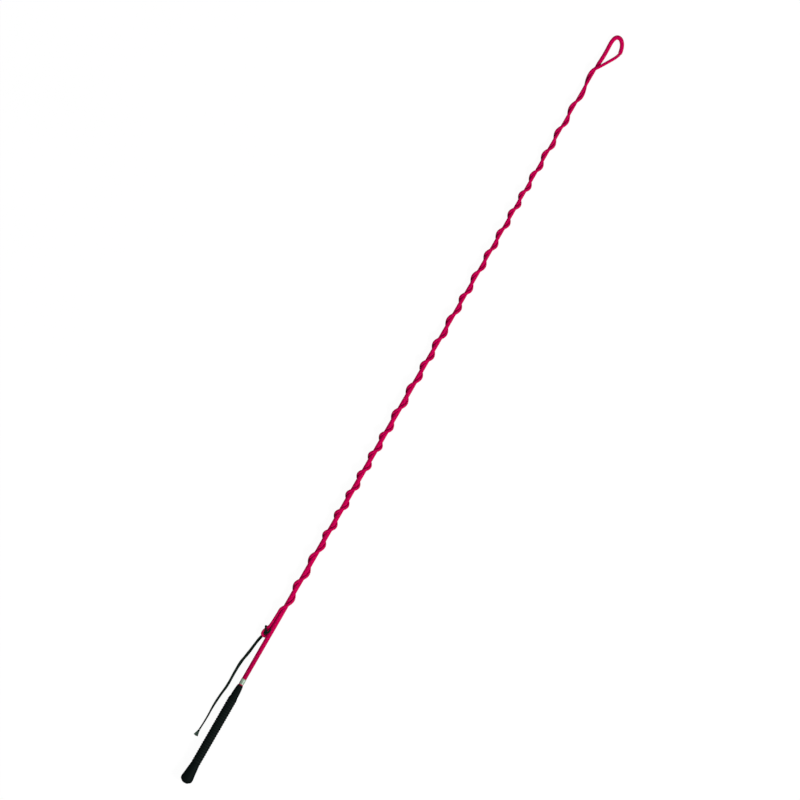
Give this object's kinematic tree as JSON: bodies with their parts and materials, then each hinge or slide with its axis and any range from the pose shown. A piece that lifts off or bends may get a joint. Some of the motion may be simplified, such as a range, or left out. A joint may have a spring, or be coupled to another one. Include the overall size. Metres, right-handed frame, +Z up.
{
  "type": "lunge whip",
  "caption": "Long tapered lunge whip with ribbed grip and braided shaft, its thong wound round the shaft and a black popper at the thong's eye.",
  "frame": {"origin": "on the floor, midway between the butt's outer end and the rod's tip, below the whip's axis, without the keeper, thong and popper", "axes": "+X from the butt towards the tip, +Z up from the floor, +Y towards the side on which the popper lies; the whip's axis dips 0.19 degrees towards the tip, as it does when it lies on the floor"},
  "size_m": [1.884, 0.0709, 0.0275],
  "materials": {
    "glass_fibre": "satin",
    "magenta_braid": "satin",
    "magenta_thread": "satin",
    "handle_core": "matte",
    "black_rubber": "satin",
    "collar_metal": "satin",
    "black_cord": "satin"
  },
  "bodies": {
    "whip": {"core_rod": "glass_fibre", "braid_cover": "magenta_braid", "handle_tube": "handle_core", "grip_sleeve": "black_rubber", "butt_cap": "black_rubber", "collar": "collar_metal", "tip_whipping": "magenta_thread", "keeper": "magenta_braid", "keeper_splice": "magenta_braid", "thong_return": "magenta_braid", "thong_winding": "magenta_braid", "thong_end_run": "magenta_braid", "eye_splice": "magenta_braid", "thong_eye": "magenta_braid", "popper_hitch": "black_cord"},
    "popper": {"popper_cord": "black_cord", "popper_knot": "black_cord", "popper_tuft": "black_cord"}
  },
  "joints": [
    {"name": "popper_swing", "type": "hinge", "parent": "whip", "child": "popper", "pos_m": [-0.53, 0.0097, 0.0025], "axis": [0, 0, -1], "range_deg": [-3, 120]}
  ]
}
